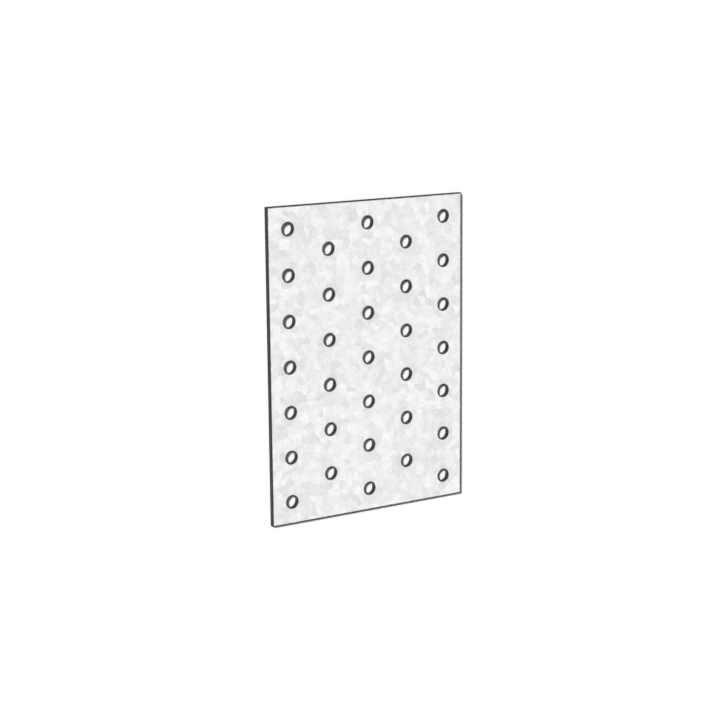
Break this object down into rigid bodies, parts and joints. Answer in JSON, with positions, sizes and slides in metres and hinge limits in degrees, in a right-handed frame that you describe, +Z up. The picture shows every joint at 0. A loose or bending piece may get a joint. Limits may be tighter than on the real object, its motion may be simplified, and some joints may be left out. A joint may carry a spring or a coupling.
{
  "type": "perforated metal sheet",
  "caption": "Flat rectangular steel sheet with a staggered field of round punched holes, for nailing two timbers together side by side.",
  "frame": {"origin": "centre of the seating face, the flat underside that the sheet lies on", "axes": "+X across the width, +Y along the length, +Z up through the thickness towards the face that the holes were punched from"},
  "size_m": [0.1, 0.14, 0.002],
  "materials": {
    "galvanised_steel": "pre-galvanised, fine spangle, satin; cut edges bare and darker"
  },
  "bodies": {
    "root": {"perforated_sheet": "galvanised_steel"}
  },
  "joints": []
}
